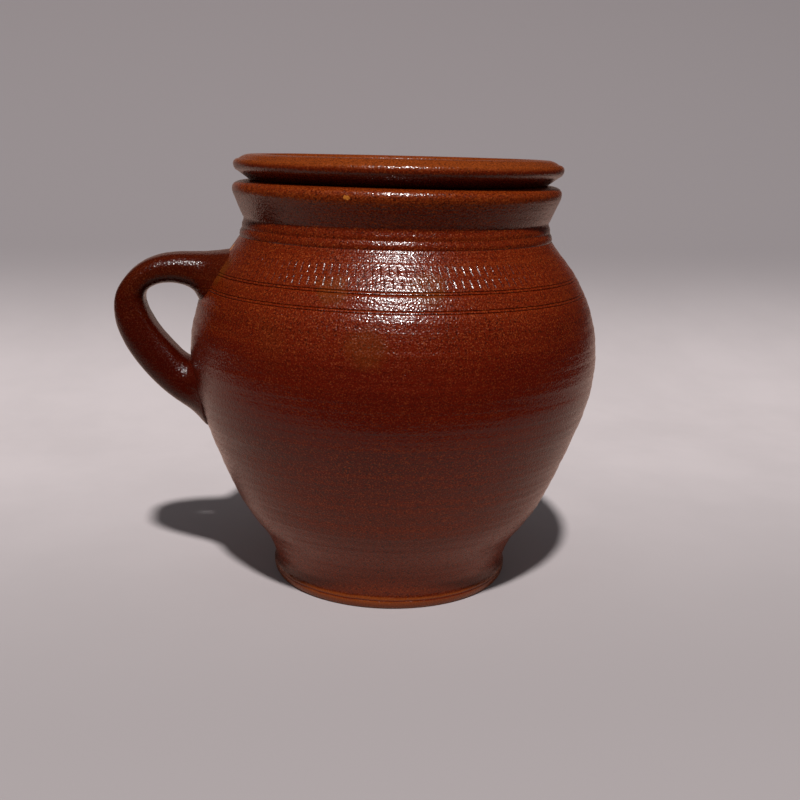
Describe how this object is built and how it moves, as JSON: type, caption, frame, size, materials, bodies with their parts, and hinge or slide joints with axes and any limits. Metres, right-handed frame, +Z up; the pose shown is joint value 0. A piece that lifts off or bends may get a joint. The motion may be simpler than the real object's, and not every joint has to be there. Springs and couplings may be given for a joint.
{
  "type": "stoneware bean pot",
  "caption": "Round-bellied glazed stoneware cooking pot with a waisted neck, a strap handle at one side and a loose dished lid with a low knob.",
  "frame": {"origin": "centre of the flat base, on the pot's turning axis, at the level of the table", "axes": "+Z up along the turning axis; the handle points along -X"},
  "size_m": [0.2469, 0.21, 0.219],
  "materials": {
    "pot_glaze": "glossy red-brown iron glaze, finely speckled",
    "handle_glaze": "glossy red-brown iron glaze",
    "lid_glaze": "glossy orange-brown iron glaze",
    "knob_glaze": "glossy orange-brown iron glaze"
  },
  "bodies": {
    "pot": {"pot_body": "pot_glaze", "handle": "handle_glaze"},
    "cover": {"lid": "lid_glaze", "lid_knob": "knob_glaze"}
  },
  "joints": [
    {"name": "lid_lift", "type": "slide", "parent": "pot", "child": "cover", "axis": [0, 0, 1], "range_m": [0, 0.06]}
  ]
}
